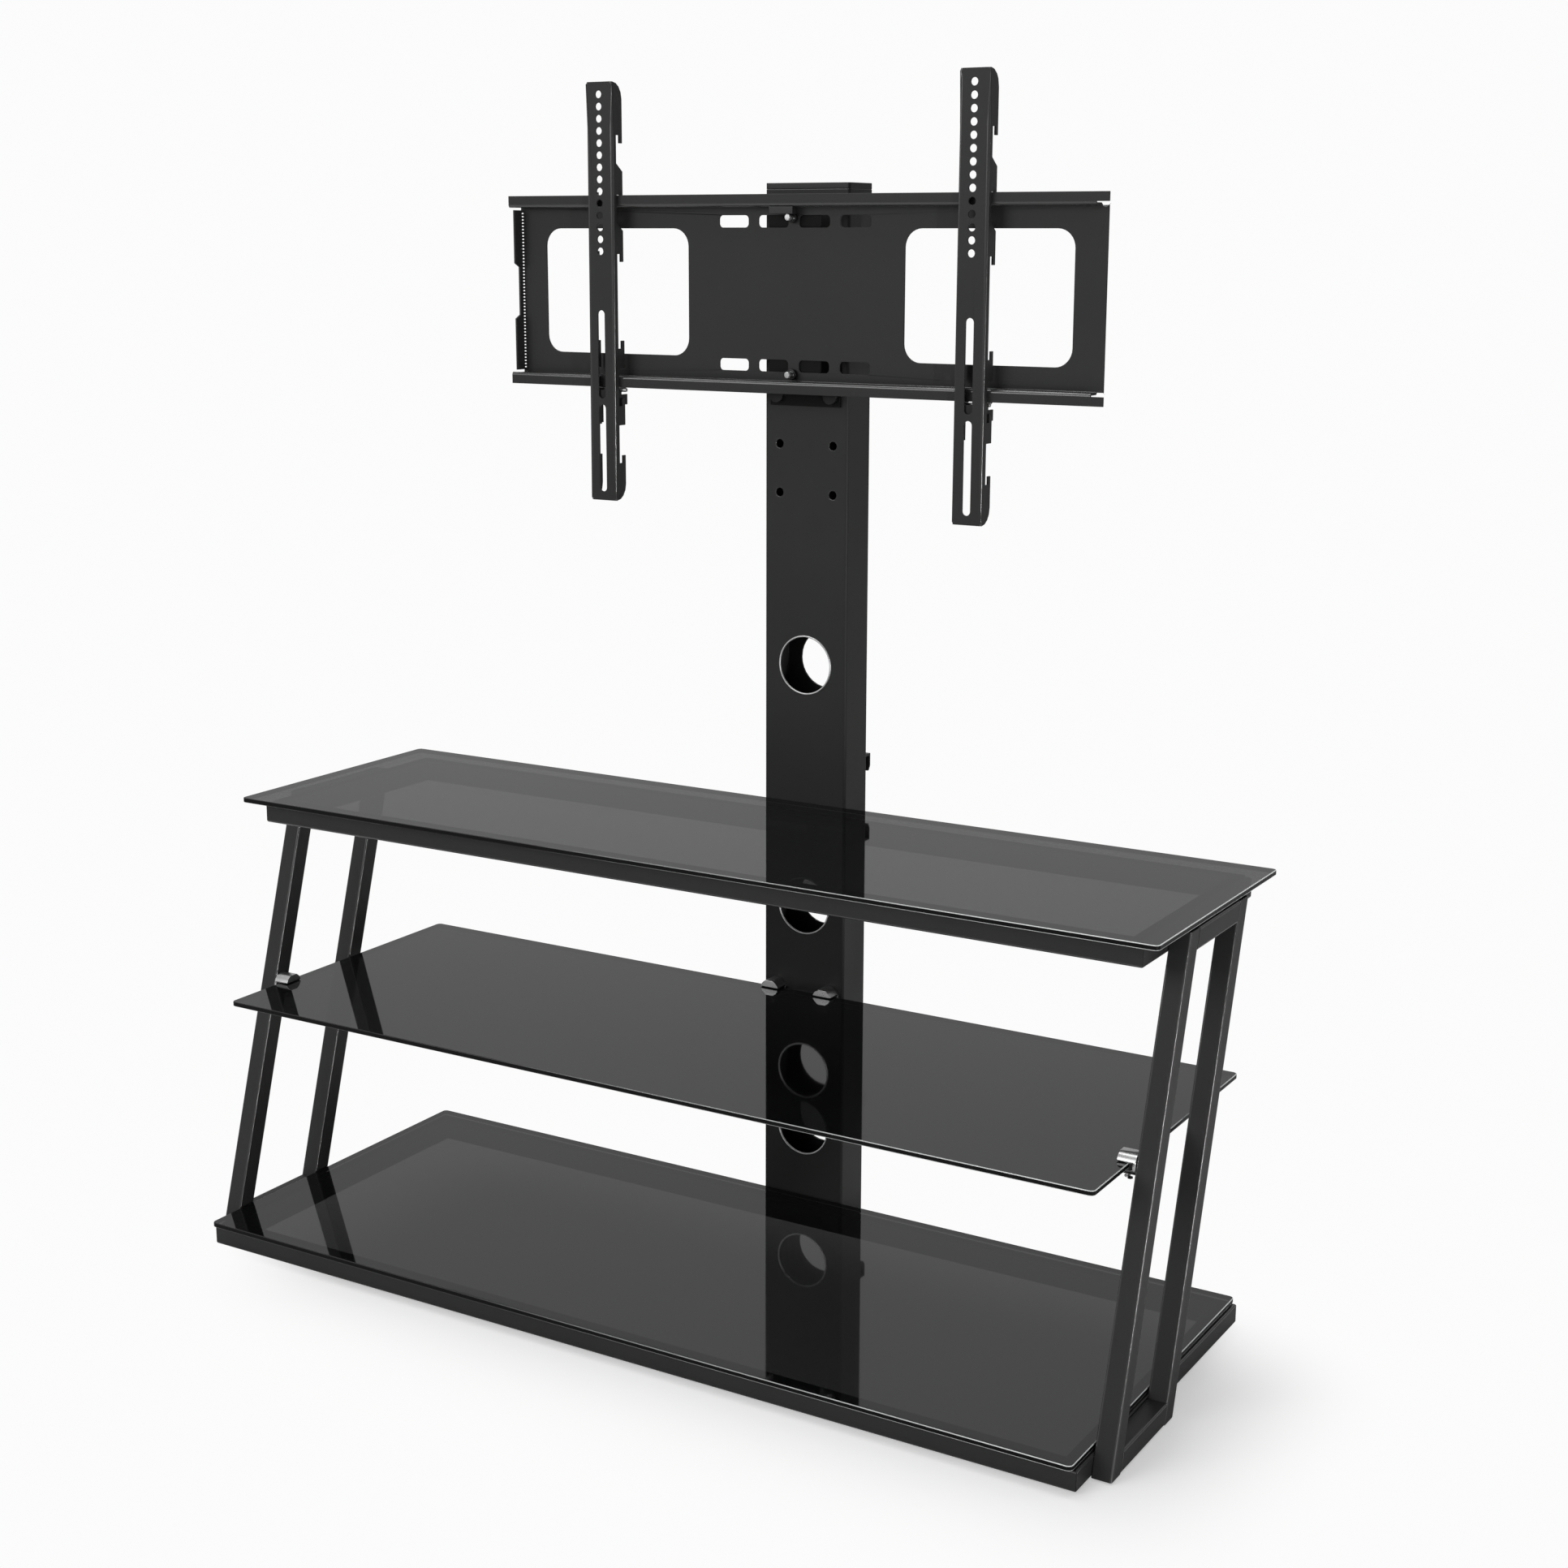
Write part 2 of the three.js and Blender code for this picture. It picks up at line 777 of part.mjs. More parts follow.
// Swivel pin through all four ears
function addSwivelPin() {
  const low = earHeights.lower;
  const high = earHeights.upper + 2 * earThickness + 2 * seatGap;
  const pin = turned([
    [0, low - nutHeight],
    [pinHeadRadius, low - nutHeight],
    [pinHeadRadius, low],
    [pinRadius, low],
    [pinRadius, high],
    [pinHeadRadius, high],
    [pinHeadRadius, high + pinHeadHeight],
    [0, high + pinHeadHeight],
  ], holeFacets);
  add(stand, 'swivel_pin', pin.translate(0, pivotY, 0), darkSteel());
}

// Swivel head behind the wall plate
function addSwivelHead() {
  const bottom = centreBoltHeights.lower - headPlateMargin;
  const top = centreBoltHeights.upper + headPlateMargin;
  const rearFace = headFront + headPlateThickness;
  const plate = box(
    corner(-headPlateWidth / 2, headFront, bottom),
    corner(headPlateWidth / 2, rearFace, top),
  );
  const ears = Object.values(earHeights).map((z) => extrude(
    earShape(headEarRadius, headFront + headPlateThickness / 2),
    earThickness,
    holeFacets,
  ).translate(0, 0, z + earThickness + seatGap));
  const holes = Object.values(centreBoltHeights).map((z) => rodAlongY(
    0,
    headFront - cutOverrun,
    rearFace + cutOverrun,
    z,
    boltRadius + boltGap,
  ));
  add(stand, 'swivel_head', cut(join([plate, ...ears]), holes), steel());

  for (const [name, z] of Object.entries(centreBoltHeights)) {
    const rings = boltRings(
      boltHeadRadius,
      boltHeadHeight,
      boltRadius,
      headPlateThickness + sheetThickness,
      nutRadius,
      nutHeight,
      centreBoltTail,
    );
    const bolt = turned(rings, boltFacets).rotateX(Math.PI / 2);
    add(stand, `${name}_centre_bolt`, bolt.translate(0, rearFace, z), zinc());
  }
}

// Wall plate: the sheet, its hooked rails and the flange folded forward at its left end
function windowHole(left) {
  const width = windowOuter - windowInner;
  const height = windowTop - windowBottom;
  return drawRounded(new THREE.Path(), left, windowBottom, width, height, windowRadius);
}

function slotHole(x, z) {
  const left = x - slotLength / 2;
  const low = z - slotHeight / 2;
  return drawRounded(new THREE.Path(), left, low, slotLength, slotHeight, slotRadius);
}

function plateSheet() {
  const shape = outline([
    [-plateHalfWidth, plateBottom - sheetThickness],
    [plateHalfWidth, plateBottom - sheetThickness],
    [plateHalfWidth, plateTop + sheetThickness],
    [-plateHalfWidth, plateTop + sheetThickness],
  ]);
  shape.holes.push(windowHole(windowInner), windowHole(-windowOuter));
  for (const z of Object.values(slotHeights)) {
    for (const x of [-slotFar, -slotNear, slotNear, slotFar]) {
      shape.holes.push(slotHole(x, z));
    }
  }
  for (const z of Object.values(centreBoltHeights)) {
    const hole = new THREE.Path();
    hole.absarc(0, z, boltRadius + boltGap, 0, Math.PI * 2, true);
    shape.holes.push(hole);
  }
  const sheet = extrude(shape, sheetThickness, windowFacets);
  return sheet.applyMatrix4(forward).translate(0, -plateStandOff, 0);
}

// A rail in (y, z): a ledge forward from the sheet, then a longer lip up or down
function railSheet(ledge, direction) {
  const back = -plateStandOff;
  const lipEnd = ledge + direction * lipHeight;
  const inner = ledge + direction * sheetThickness;
  const ledgeSection = outline([
    [back, ledge],
    [lipFront, ledge],
    [lipFront, inner],
    [back, inner],
  ]);
  const lipSection = outline([
    [lipFront, ledge],
    [lipFront, lipEnd],
    [lipFront + sheetThickness, lipEnd],
    [lipFront + sheetThickness, ledge],
  ]);
  const [ledgeSheet, lipSheet] = [
    [ledgeSection, railLedgeHalfWidth],
    [lipSection, railHalfWidth],
  ].map(([section, half]) => {
    const sheet = extrude(section, half * 2).applyMatrix4(alongX);
    return sheet.translate(-half, 0, 0);
  });
  return join([ledgeSheet, lipSheet]);
}

function sideFlange() {
  const low = plateBottom + sideFlangeGap;
  const high = plateTop - sideFlangeGap;
  const height = high - low;
  const waistLow = low + height * sideFlangeWaistShares.bottom;
  const waistHigh = low + height * sideFlangeWaistShares.top;
  const back = -plateStandOff;
  const wide = plateFront - sideFlangeWidth;
  const narrow = plateFront - sideFlangeWaist;
  const shape = outline([
    [back, low],
    [back, high],
    [wide, high],
    [wide, waistHigh],
    [narrow, waistHigh - sideFlangeSlope],
    [narrow, waistLow + sideFlangeSlope],
    [wide, waistLow],
    [wide, low],
  ]);
  const flange = extrude(shape, sheetThickness).applyMatrix4(alongX);
  return flange.translate(-plateHalfWidth, 0, 0);
}

// The relief cut at the right end, between the sheet and a rail's lip
function railNotch(low) {
  return box(
    corner(railNotchStart, lipFront - cutOverrun, low),
    corner(railHalfWidth + cutOverrun, -plateStandOff + cutOverrun, low + railNotchHeight),
  );
}

function addWallPlate() {
  const pieces = [
    plateSheet(),
    railSheet(plateTop, 1),
    railSheet(plateBottom, -1),
    sideFlange(),
  ];
  const notches = [railNotch(plateTop), railNotch(plateBottom - railNotchHeight)];
  add(stand, 'wall_plate', cut(join(pieces), notches), steel());

  const level = box(
    corner(levelLeft, lipFront, plateTop - levelHeight),
    corner(levelLeft + levelWidth, lipFront + levelDepth, plateTop),
  );
  add(stand, 'level_block', level, blackPlastic());
}

// Screen bracket: a folded channel whose two cheeks carry hooks for the rails
function cheekOutline() {
  const height = bracketTop - bracketBottom;
  const slotRear = hookSlotFront + hookSlotWidth;
  const firstUpper = height - bracketAbove;
  const firstLower = bracketBelow;
  const points = [[0, 0], [0, height]];
  const arcSteps = windowFacets;
  const start = bracketFlange - bracketCorner;
  for (let i = 0; i <= arcSteps; i += 1) {
    const angle = (i / arcSteps) * Math.PI / 2;
    points.push([
      start + bracketCorner * Math.sin(angle),
      height - bracketCorner + bracketCorner * Math.cos(angle),
    ]);
  }
  for (let i = 0; i < hookCount; i += 1) {
    const slotEnd = firstUpper - i * hookPitch;
    points.push([bracketFlange, slotEnd - hookDrop], [slotRear, slotEnd - hookDrop]);
    points.push([slotRear, slotEnd], [hookSlotFront, slotEnd]);
    if (i < hookCount - 1) {
      const recessEnd = slotEnd - hookDrop - hookRecess;
      points.push([hookSlotFront, recessEnd], [bracketFlange, recessEnd - hookSlope]);
    }
  }
  for (let i = hookCount - 1; i >= 0; i -= 1) {
    const slotEnd = firstLower + i * hookPitch;
    if (i < hookCount - 1) {
      const recessEnd = slotEnd + hookDrop + lowerHookRecess;
      points.push([bracketFlange, recessEnd], [hookSlotFront, recessEnd]);
    }
    points.push([hookSlotFront, slotEnd], [slotRear, slotEnd]);
    points.push([slotRear, slotEnd + hookDrop], [bracketFlange, slotEnd + hookDrop]);
  }
  for (let i = 0; i <= arcSteps; i += 1) {
    const angle = (i / arcSteps) * Math.PI / 2;
    points.push([
      start + bracketCorner * Math.cos(angle),
      bracketCorner - bracketCorner * Math.sin(angle),
    ]);
  }
  return outline(points);
}

function screenSlot(low) {
  const shape = rounded(screenSlotWidth, screenSlotLength, screenSlotWidth / 2);
  const slot = extrude(shape, bracketThickness + 2 * cutOverrun, windowFacets);
  return slot.applyMatrix4(forward).translate(
    screenHoleShift,
    bracketFace + bracketThickness + cutOverrun,
    low + screenSlotLength / 2,
  );
}

function bracketGeometry() {
  const body = extrude(cheekOutline(), bracketWidth).applyMatrix4(alongX);
  body.translate(-bracketWidth / 2, bracketFace, bracketBottom);
  const innerHalf = bracketWidth / 2 - bracketThickness;
  const channel = box(
    corner(-innerHalf, bracketFace + bracketThickness, bracketBottom - cutOverrun),
    corner(innerHalf, bracketFace + bracketFlange + cutOverrun, bracketTop + cutOverrun),
  );
  // The left cheek is shallower beside the screw holes, its teeth in use are not
  const shallow = (low, high) =>
    box(
      corner(-bracketWidth / 2 - cutOverrun, bracketFace + leftCheekDepth, low),
      corner(0, bracketFace + bracketFlange + cutOverrun, high),
    );
  const upperSpan = shallow(bearingHook + leftCheekStart, bracketTop + cutOverrun);
  const lowerSpan = shallow(
    bearingHook - hookPitch + leftCheekStart,
    bearingHook - hookDrop - leftCheekStart,
  );
  const cutters = [channel, upperSpan, lowerSpan];
  for (let i = 0; i < screenHoleCount; i += 1) {
    cutters.push(rodAlongY(
      screenHoleShift,
      bracketFace - cutOverrun,
      bracketFace + bracketThickness + cutOverrun,
      bracketTop - screenHoleFirst - i * screenHolePitch,
      screenHoleRadius,
      holeFacets,
    ));
  }
  const lowSlot = bracketBottom + screenSlotEnd;
  cutters.push(screenSlot(lowSlot));
  cutters.push(screenSlot(lowSlot + screenSlotLength + screenSlotBridge));
  return cut(body, cutters);
}

// Safety lock inside the channel: two cheeks whose ears hold the bar under the rail, and a web
function lockGeometry() {
  const innerHalf = bracketWidth / 2 - bracketThickness - seatGap;
  const top = lowerLipBottom - lockBelowRail;
  const low = top - lockHeight;
  const front = bracketFace + bracketThickness + seatGap;
  const rear = bracketFace + lockReach;
  const waist = bracketFace + lockWaist;
  const ear = bracketFace + lockEarReach;
  const earTop = lowerLipBottom - lockEarGap;
  const barY = bracketFace + lockBarFromFace;
  const barZ = lowerLipBottom - lockBarBelowRail;
  const webTop = lowerLipBottom - lockWebBelowRail;
  const cheek = outline([
    [front, low],
    [waist, low],
    [waist, top - lockWideHeight],
    [rear, top - lockWideHeight],
    [rear, top],
    [ear, top],
    [ear, earTop - lockEarHeight],
    [rear, earTop],
    [front, earTop],
  ]);
  const hole = new THREE.Path();
  hole.absarc(barY, barZ, lockBarRadius + runningGap, 0, Math.PI * 2, true);
  cheek.holes.push(hole);
  const body = extrude(cheek, innerHalf * 2, holeFacets).applyMatrix4(alongX);
  body.translate(-innerHalf, 0, 0);
  const [left, right] = [-innerHalf + lockThickness, innerHalf - lockThickness];
  return cut(body, [
    box(
      corner(left, front + lockThickness, low - cutOverrun),
      corner(right, rear + cutOverrun, lowerLipBottom),
    ),
    box(
      corner(left, front - cutOverrun, low - cutOverrun),
      corner(right, rear + cutOverrun, webTop - lockWebHeight),
    ),
    box(
      corner(left, front - cutOverrun, webTop),
      corner(right, rear + cutOverrun, lowerLipBottom),
    ),
  ]);
}

function lockBarGeometry(knobLength) {
  const innerHalf = bracketWidth / 2 - bracketThickness - seatGap;
  const rings = [
    [0, -innerHalf - lockBarEnd],
    [lockBarRadius, -innerHalf - lockBarEnd],
    [lockBarRadius, innerHalf],
    [lockKnobRadius, innerHalf],
    [lockKnobRadius, innerHalf + knobLength],
    [0, innerHalf + knobLength],
  ];
  const bar = turned(rings, boltFacets).rotateY(Math.PI / 2);
  return bar.translate(
    0,
    bracketFace + lockBarFromFace,
    lowerLipBottom - lockBarBelowRail,
  );
}

function addScreenBracket(name, x) {
  add(stand, `${name}_bracket`, bracketGeometry().translate(x, 0, 0), steel());
  add(stand, `${name}_lock`, lockGeometry().translate(x, 0, 0), darkSteel());
  const bar = lockBarGeometry(lockKnobLengths[name]);
  add(stand, `${name}_lock_bar`, bar.translate(x, 0, 0), zinc());
}

// Glass clamp at the origin: its back on x = 0, its jaws towards +x, the glass centred on z = 0
function clampHalfWidthArc(path, height, from, to, clockwise) {
  path.absellipse(0, 0, clampWidth / 2, height, from, to, clockwise, 0);
}

function clampGeometry() {
  const jaw = glassThickness / 2 + linerThickness;
  const side = outline([
    [0, -clampRootBelow],
    [clampReach, -clampTipBelow],
    [clampReach, -jaw],
    [clampThroat, -jaw],
    [clampThroat, jaw],
    [clampReach, jaw],
    [clampReach, clampTipAbove],
    [0, clampRootAbove],
  ]);
  const sideBody = extrude(side, clampWidth).applyMatrix4(forward).translate(0, clampWidth / 2, 0);
  const front = new THREE.Shape();
  front.moveTo(clampWidth / 2, 0);
  clampHalfWidthArc(front, clampRootAbove, 0, Math.PI, false);
  clampHalfWidthArc(front, clampRootBelow, Math.PI, Math.PI * 2, false);
  const frontBody = extrude(front, clampReach, clampFacets).applyMatrix4(alongX);
  const screw = screwRings(
    clampScrewHead,
    clampScrewHeadHeight,
    clampScrewRadius,
    clampScrewDrop - jaw - seatGap,
  );
  const screwBody = turned(screw, boltFacets);
  screwBody.translate(clampReach - clampScrewInset, 0, -clampScrewDrop);
  return join([overlapOf(sideBody, frontBody), screwBody]);
}

// Soft liner wrapped around the edge of the glass inside a clamp
function linerGeometry() {
  const half = glassThickness / 2;
  const outer = half + linerThickness;
  const end = clampReach - linerInset;
  const liner = outline([
    [clampThroat, -outer],
    [end, -outer],
    [end, -half],
    [clampThroat + linerReach, -half],
    [clampThroat + linerReach, half],
    [end, half],
    [end, outer],
    [clampThroat, outer],
  ]);
  return extrude(liner, linerWidth).applyMatrix4(forward).translate(0, linerWidth / 2, 0);
}

function addClamps() {
  const legMiddle = legFrontAt(middleGlassCentre) + legDepth / 2;
  const legInner = frameHalf;
  for (const [name, x, y, turn] of [
    ['left_leg', -legInner, legMiddle, 0],
    ['right_leg', legInner, legMiddle, Math.PI],
    ['column_left', -columnClampSpread / 2, 0, -Math.PI / 2],
    ['column_right', columnClampSpread / 2, 0, -Math.PI / 2],
  ]) {
    const place = (geometry) => geometry.rotateZ(turn).translate(x, y, middleGlassCentre);
    add(stand, `${name}_clamp`, place(clampGeometry()), zinc());
    add(stand, `${name}_clamp_liner`, place(linerGeometry()), rubber());
  }
}

addFloorPads();
addFrame('base', baseFrameFront, 0, floorPadHeight, baseBoltHeight);
addFrame('top', topFrameFront, topFrameRear, topFrameBottom, topBoltHeight);
addLegFrame('left', -1);
addLegFrame('right', 1);
addGlassPad('base', baseFrameFront, 0, baseRailTop);
addGlassPad('top', topFrameFront, topFrameRear, topRailTop);
addGlass();
addColumn();
addClips();
addColumnTies();
addClamps();
addMountBase();
addSwivelPin();
addSwivelHead();
addWallPlate();
for (const [name, x] of Object.entries(bracketCentres)) {
  addScreenBracket(name, x);
}

// The origin lies on the floor, halfway between the frontmost and rearmost points
const frontReach = baseGlassDepth + glassBehindGap;
const rearReach = columnDepth + clipReach;
stand.position.y = (frontReach - rearReach) / 2;

const group = new THREE.Group();
group.add(stand);
group.updateMatrixWorld(true);

export default group;
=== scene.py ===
import json
import math

import bmesh
import bpy
from mathutils import Matrix, Vector


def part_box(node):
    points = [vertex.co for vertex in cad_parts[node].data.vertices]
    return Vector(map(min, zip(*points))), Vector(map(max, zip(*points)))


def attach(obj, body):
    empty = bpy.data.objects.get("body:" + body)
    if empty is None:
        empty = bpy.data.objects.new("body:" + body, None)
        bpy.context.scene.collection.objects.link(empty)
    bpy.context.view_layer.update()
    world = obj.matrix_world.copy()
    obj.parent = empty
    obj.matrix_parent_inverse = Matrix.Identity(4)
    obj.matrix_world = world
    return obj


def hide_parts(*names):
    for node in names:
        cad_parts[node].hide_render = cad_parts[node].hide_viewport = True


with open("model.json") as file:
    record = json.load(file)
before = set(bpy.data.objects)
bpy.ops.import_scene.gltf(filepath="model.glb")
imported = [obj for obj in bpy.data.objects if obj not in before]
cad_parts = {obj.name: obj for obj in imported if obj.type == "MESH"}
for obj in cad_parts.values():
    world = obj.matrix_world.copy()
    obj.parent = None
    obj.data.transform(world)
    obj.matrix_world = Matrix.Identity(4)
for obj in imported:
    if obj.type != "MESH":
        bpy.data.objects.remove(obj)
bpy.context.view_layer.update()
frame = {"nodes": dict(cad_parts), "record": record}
bodyOf = {node: body for body, nodes in frame["record"]["behaviour"]["bodies"].items() for node in nodes}
slotOf = {part["node"]: part["material_slot"] for part in frame["record"]["subparts"]}
scene = bpy.context.scene
scene.view_settings.view_transform = "Standard"
print("frame loaded:", len(bodyOf), "nodes")


# Camera at the photograph's viewing angle
viewpoint = {
    "place": (1.23664, -1.93776, 1.0528),
    "azimuth": 30.9451,
    "elevation": 12.9348,
    "roll": 0.1613,
    "lens": 54.359,
    "sensor": 36.0,
}


def makeCamera(view):
    azimuth = math.radians(view["azimuth"])
    elevation = math.radians(view["elevation"])
    back = Vector((
        math.sin(azimuth) * math.cos(elevation),
        -math.cos(azimuth) * math.cos(elevation),
        math.sin(elevation),
    ))
    right = Vector((0, 0, 1)).cross(back).normalized()
    up = back.cross(right)
    turn = math.radians(view["roll"])
    tiltedRight = right * math.cos(turn) + up * math.sin(turn)
    tiltedUp = up * math.cos(turn) - right * math.sin(turn)
    data = bpy.data.cameras.new("camera")
    data.lens = view["lens"]
    data.sensor_width = view["sensor"]
    data.clip_end = 60
    camera = bpy.data.objects.new("camera", data)
    scene.collection.objects.link(camera)
    placed = Matrix((tiltedRight, tiltedUp, back)).transposed().to_4x4()
    placed.translation = Vector(view["place"])
    camera.matrix_world = placed
    scene.camera = camera


makeCamera(viewpoint)


# Shader sums written as Python: a wire is one output socket of a material's tree
class Wire:
    def __init__(self, tree, socket):
        self.tree = tree
        self.socket = socket

    def sum(self, operation, first, second):
        node = self.tree.nodes.new("ShaderNodeMath")
        node.operation = operation
        for slot, value in zip(node.inputs, (first, second)):
            if isinstance(value, Wire):
                self.tree.links.new(value.socket, slot)
            else:
                slot.default_value = value
        return Wire(self.tree, node.outputs[0])

    def __add__(self, other):
        return self.sum("ADD", self, other)

    def __radd__(self, other):
        return self.sum("ADD", other, self)

    def __sub__(self, other):
        return self.sum("SUBTRACT", self, other)

    def __mul__(self, other):
        return self.sum("MULTIPLY", self, other)

    def clamped(self):
        return self.sum("MINIMUM", self.sum("MAXIMUM", self, 0.0), 1.0)


# A finish is a material with its tree open for drawing
class Finish:
    def __init__(self, name):
        self.material = bpy.data.materials.new(name)
        self.material.use_nodes = True
        self.tree = self.material.node_tree
        self.shader = self.tree.nodes["Principled BSDF"]
        self.output = self.tree.nodes["Material Output"]

    def node(self, kind, settings=None, sockets=None, out=0):
        made = self.tree.nodes.new(kind)
        for key, value in (settings or {}).items():
            setattr(made, key, value)
        for key, value in (sockets or {}).items():
            self.put(made.inputs[key], value)
        return Wire(self.tree, made.outputs[out])

    def put(self, slot, value):
        if isinstance(value, Wire):
            self.tree.links.new(value.socket, slot)
        else:
            slot.default_value = value

    def shade(self, **values):
        for key, value in values.items():
            self.put(self.shader.inputs[key.replace("_", " ")], value)

    def place(self):
        return self.node("ShaderNodeTexCoord", out=3)

    def noise(self, scale, detail, roughness):
        sockets = {"Vector": self.place(), "Scale": scale, "Detail": detail, "Roughness": roughness}
        return self.node("ShaderNodeTexNoise", None, sockets)

    def mixed(self, factor, first, second):
        return self.node("ShaderNodeMix", {"data_type": "RGBA"}, {0: factor, 6: first, 7: second}, out=2)

    def bump(self, height, distance, strength):
        sockets = {"Height": height, "Distance": distance, "Strength": strength}
        return self.node("ShaderNodeBump", None, sockets)


def grey(value, tint=(1.0, 1.0, 1.0)):
    return tuple(value * part for part in tint) + (1.0,)


# A value that wavers about its middle, by pairs of a noise and how far it swings the value
def wavering(middle, *swings):
    total = middle
    for noise, spread in swings:
        total = total + (noise - 0.5) * spread
    return total.clamped()


# Powder coated steel: a fine pebbled skin, slightly uneven in tone and gloss
steelLook = {
    "dark": 0.023,
    "light": 0.037,
    "patches": 9.0,
    "pebble": 1150.0,
    "pebbleHeight": 0.00006,
    "pebbleStrength": 0.5,
    "waviness": 260.0,
    "roughness": 0.46,
    "roughnessSpread": 0.12,
    "specular": 0.25,
}


def powderCoat(name, look):
    finish = Finish(name)
    tone = finish.noise(look["patches"], 4.0, 0.6)
    speck = finish.noise(look["pebble"], 2.0, 0.6)
    wave = finish.noise(look["waviness"], 2.0, 0.5)
    mask = (tone * 0.7 + speck * 0.5 - 0.1).clamped()
    spread = look["roughnessSpread"]
    finish.shade(
        Base_Color=finish.mixed(mask, grey(look["dark"]), grey(look["light"])),
        Roughness=wavering(look["roughness"], (speck, spread), (tone, spread)),
        Normal=finish.bump(speck * 0.7 + wave * 0.3, look["pebbleHeight"], look["pebbleStrength"]),
        Specular_IOR_Level=look["specular"],
    )
    return finish.material


# On folds and corners the same coat lies thinner and is rubbed smoother, and its lighter colour there is a
# painted highlight
cornerHighlightLook = dict(steelLook, dark=0.034, light=0.055, roughness=0.19, roughnessSpread=0.06, specular=0.9)
# Painted shade: the mount's inner sheets, seen only through slots, get a much darker copy of the coat
shadedInnerLook = dict(steelLook, dark=0.006, light=0.010, roughness=0.6, specular=0.12)


# Black tempered glass: almost no texture, faint wiping marks in its gloss
glassLook = {
    "colour": (0.0034, 0.0036, 0.0040, 1.0),
    "roughness": 0.035,
    "smear": 0.03,
    "smearScale": 3.5,
    "dustScale": 420.0,
    "wave": 0.00002,
}


def blackGlass(name, look, sheet):
    finish = Finish(name)
    smear = finish.noise(look["smearScale"], 5.0, 0.65)
    dust = finish.noise(look["dustScale"], 2.0, 0.5)
    finish.shade(
        Base_Color=look["colour"],
        Roughness=wavering(look["roughness"], (smear, look["smear"])),
        Normal=finish.bump(smear * 0.9 + dust * 0.02, look["wave"], 0.2),
        Alpha=sheet["solid"],
        IOR=sheet["bend"],
    )
    return finish.material


# Its ground edge is dull and dark, and the arris above it is polished and carries a painted highlight in its
# colour
groundLook = {
    "dark": 0.0028,
    "light": 0.0052,
    "specular": 0.12,
    "roughness": 0.35,
    "roughnessSpread": 0.15,
    "grain": 800.0,
    "grainHeight": 0.00004,
}
arrisHighlightLook = {
    "dark": grey(0.012),
    "light": grey(0.8, (0.97, 1, 0.99)),
    "from": -0.15,
    "to": 0.45,
    "chips": 60.0,
    "roughness": 0.12,
    "roughnessSpread": 0.1,
}


def groundGlass(name, look):
    finish = Finish(name)
    grain = finish.noise(look["grain"], 3.0, 0.6)
    finish.shade(
        Base_Color=finish.mixed(grain, grey(look["dark"]), grey(look["light"])),
        Roughness=wavering(look["roughness"], (grain, look["roughnessSpread"])),
        Normal=finish.bump(grain, look["grainHeight"], 0.3),
        Specular_IOR_Level=look["specular"],
    )
    return finish.material


# Painted highlight: the arris colour goes from dark to near white towards the right end of a sheet
def paintedArrisHighlight(name, look):
    finish = Finish(name)
    parts = finish.tree.nodes.new("ShaderNodeSeparateXYZ")
    finish.put(parts.inputs[0], finish.place())
    across = Wire(finish.tree, parts.outputs["X"])
    along = finish.node(
        "ShaderNodeMapRange", None, {"Value": across, "From Min": look["from"], "From Max": look["to"]},
    )
    chip = finish.noise(look["chips"], 3.0, 0.6)
    finish.shade(
        Base_Color=finish.mixed((along * (chip * 0.6 + 0.7)).clamped(), look["dark"], look["light"]),
        Roughness=(chip * look["roughnessSpread"] + look["roughness"]).clamped(),
    )
    return finish.material


# Zinc plate, and a near-white bead round a cable hole that stands in for the lit edge of the hole, a painted
# highlight
zincLook = {
    "dark": (0.50, 0.50, 0.505, 1.0),
    "light": (0.68, 0.68, 0.675, 1.0),
    "roughness": 0.3,
    "grainSpread": 0.16,
    "cloudSpread": 0.1,
    "grain": 900.0,
    "grainHeight": 0.00005,
    "cloud": 90.0,
}
holeHighlightBeadLook = dict(zincLook, dark=grey(0.84), light=grey(0.95), roughness=0.38)


def zincPlate(name, look):
    finish = Finish(name)
    cloud = finish.noise(look["cloud"], 4.0, 0.6)
    grain = finish.noise(look["grain"], 3.0, 0.6)
    finish.shade(
        Base_Color=finish.mixed(cloud, look["dark"], look["light"]),
        Metallic=1.0,
        Roughness=wavering(look["roughness"], (grain, look["grainSpread"]), (cloud, look["cloudSpread"])),
        Normal=finish.bump(grain, look["grainHeight"], 0.35),
    )
    return finish.material


# Small dark parts: a cloudy tone and a fine grain
oxideLook = {
    "dark": 0.010,
    "light": 0.022,
    "metallic": 0.5,
    "roughness": 0.34,
    "roughnessSpread": 0.14,
    "cloud": 120.0,
    "grain": 1400.0,
    "grainHeight": 0.00004,
}
plasticLook = {
    "dark": 0.012,
    "light": 0.018,
    "roughness": 0.46,
    "roughnessSpread": 0.1,
    "cloud": 35.0,
    "grain": 1600.0,
    "grainHeight": 0.00005,
}
rubberLook = {
    "dark": 0.009,
    "light": 0.016,
    "roughness": 0.82,
    "roughnessSpread": 0.12,
    "cloud": 60.0,
    "grain": 700.0,
    "grainHeight": 0.00012,
}


def blackOxide(name, look):
    finish = Finish(name)
    cloud = finish.noise(look["cloud"], 3.0, 0.6)
    grain = finish.noise(look["grain"], 2.0, 0.6)
    finish.shade(
        Base_Color=finish.mixed(cloud, grey(look["dark"]), grey(look["light"])),
        Metallic=look["metallic"],
        Roughness=wavering(look["roughness"], (cloud, look["roughnessSpread"])),
        Normal=finish.bump(grain, look["grainHeight"], 0.3),
    )
    return finish.material


